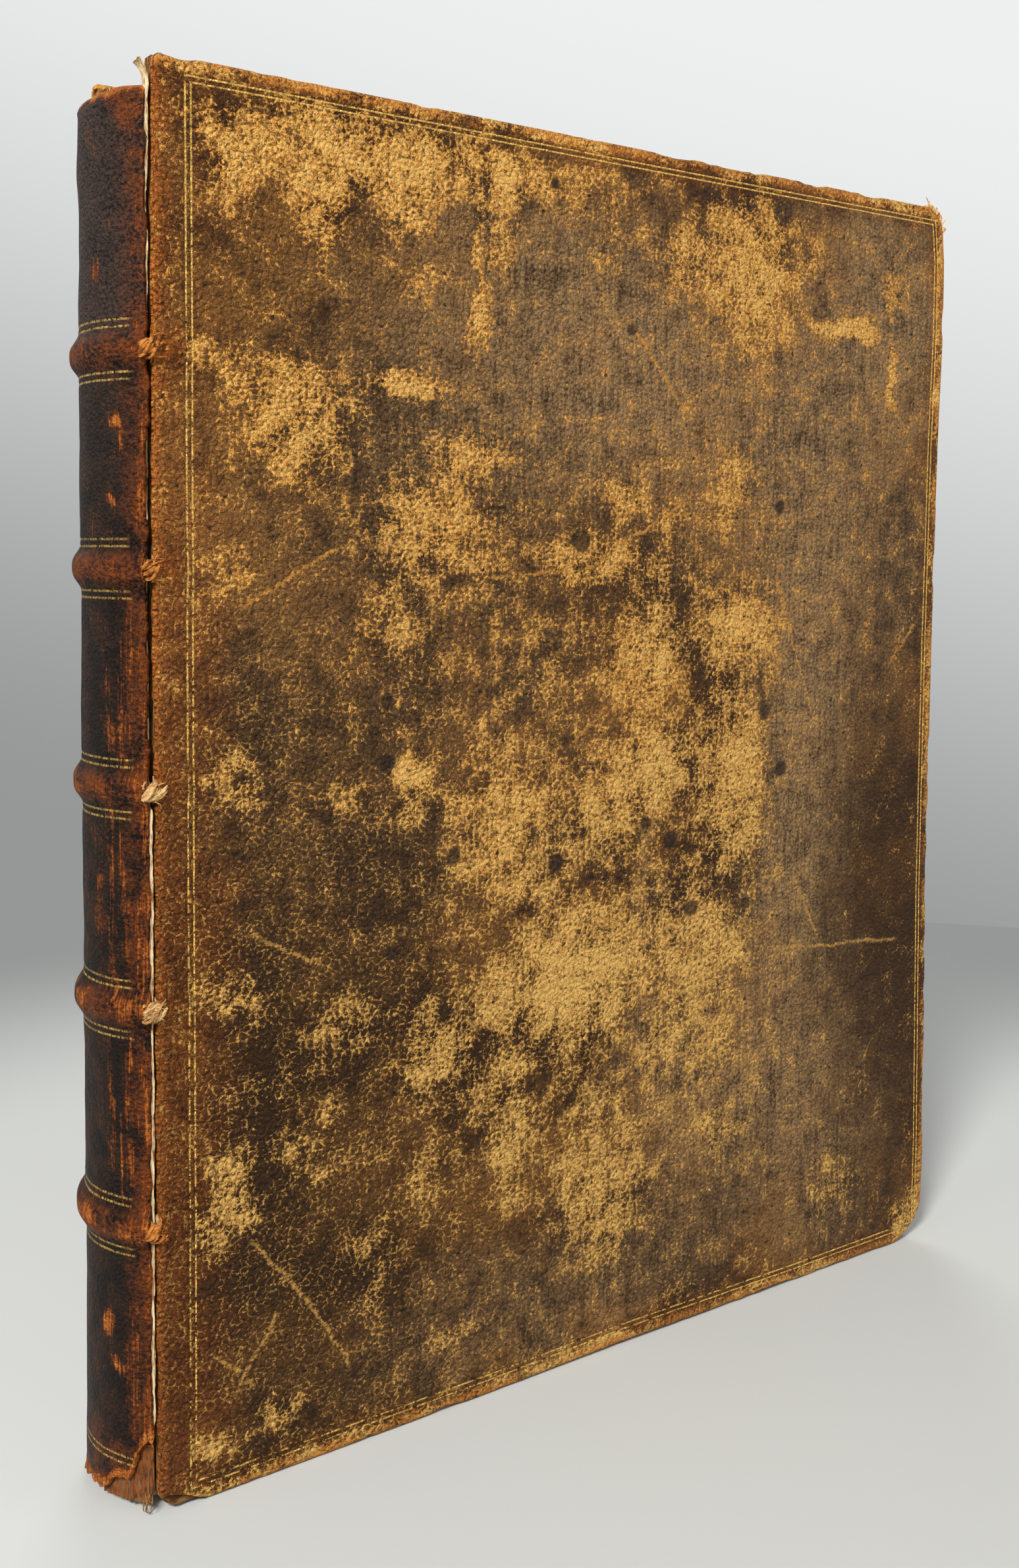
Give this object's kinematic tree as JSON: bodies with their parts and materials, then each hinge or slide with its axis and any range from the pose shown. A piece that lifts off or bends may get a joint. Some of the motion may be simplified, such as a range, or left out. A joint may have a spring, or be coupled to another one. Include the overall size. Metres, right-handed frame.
{
  "type": "antique leather book",
  "caption": "Old book bound in worn dark calf over boards, with raised bands, a cracked front joint and hinged covers.",
  "frame": {"origin": "centre of the book's footprint on the table, with the book standing on its tail", "axes": "+X from the spine to the fore-edge, +Y from the front cover to the rear cover, +Z from tail to head"},
  "size_m": [0.2408, 0.0334, 0.29],
  "materials": {
    "cover_calf": "worn, scuffed calf with a dull polish",
    "spine_calf": "darkened, finely crackled calf",
    "pasteboard": "rough, layered",
    "aged_pages": "matt, toned laid paper",
    "endpaper": "matt, lightly foxed",
    "torn_lining": "matt",
    "hemp_cord": "fibrous",
    "endband_thread": "wound thread"
  },
  "bodies": {
    "text": {"text_block": "aged_pages", "front_flyleaf": "endpaper", "rear_flyleaf": "endpaper", "head_endband": "endband_thread", "spine_leather": "spine_calf", "joint_strip": "torn_lining", "sewing_cord_1": "hemp_cord", "sewing_cord_2": "hemp_cord", "sewing_cord_3": "hemp_cord", "sewing_cord_4": "hemp_cord", "sewing_cord_5": "hemp_cord", "spine_lining_1": "torn_lining", "spine_lining_2": "torn_lining", "spine_lining_3": "torn_lining", "spine_lining_4": "torn_lining", "spine_lining_5": "torn_lining", "spine_lining_6": "torn_lining"},
    "front_cover": {"front_board": "pasteboard", "front_cover_leather": "cover_calf", "front_pastedown": "endpaper", "front_cord_slip_1": "hemp_cord", "front_cord_slip_2": "hemp_cord", "front_cord_slip_3": "hemp_cord", "front_cord_slip_4": "hemp_cord", "front_cord_slip_5": "hemp_cord"},
    "rear_cover": {"rear_board": "pasteboard", "rear_cover_leather": "cover_calf", "rear_pastedown": "endpaper", "rear_cord_slip_1": "hemp_cord", "rear_cord_slip_2": "hemp_cord", "rear_cord_slip_3": "hemp_cord", "rear_cord_slip_4": "hemp_cord", "rear_cord_slip_5": "hemp_cord"}
  },
  "joints": [
    {"name": "front_joint", "type": "hinge", "parent": "text", "child": "front_cover", "pos_m": [-0.1116, -0.017, 0.145], "axis": [0, 0, -1], "range_deg": [0, 175]},
    {"name": "rear_joint", "type": "hinge", "parent": "text", "child": "rear_cover", "pos_m": [-0.1116, 0.017, 0.145], "axis": [0, 0, 1], "range_deg": [0, 175]}
  ]
}
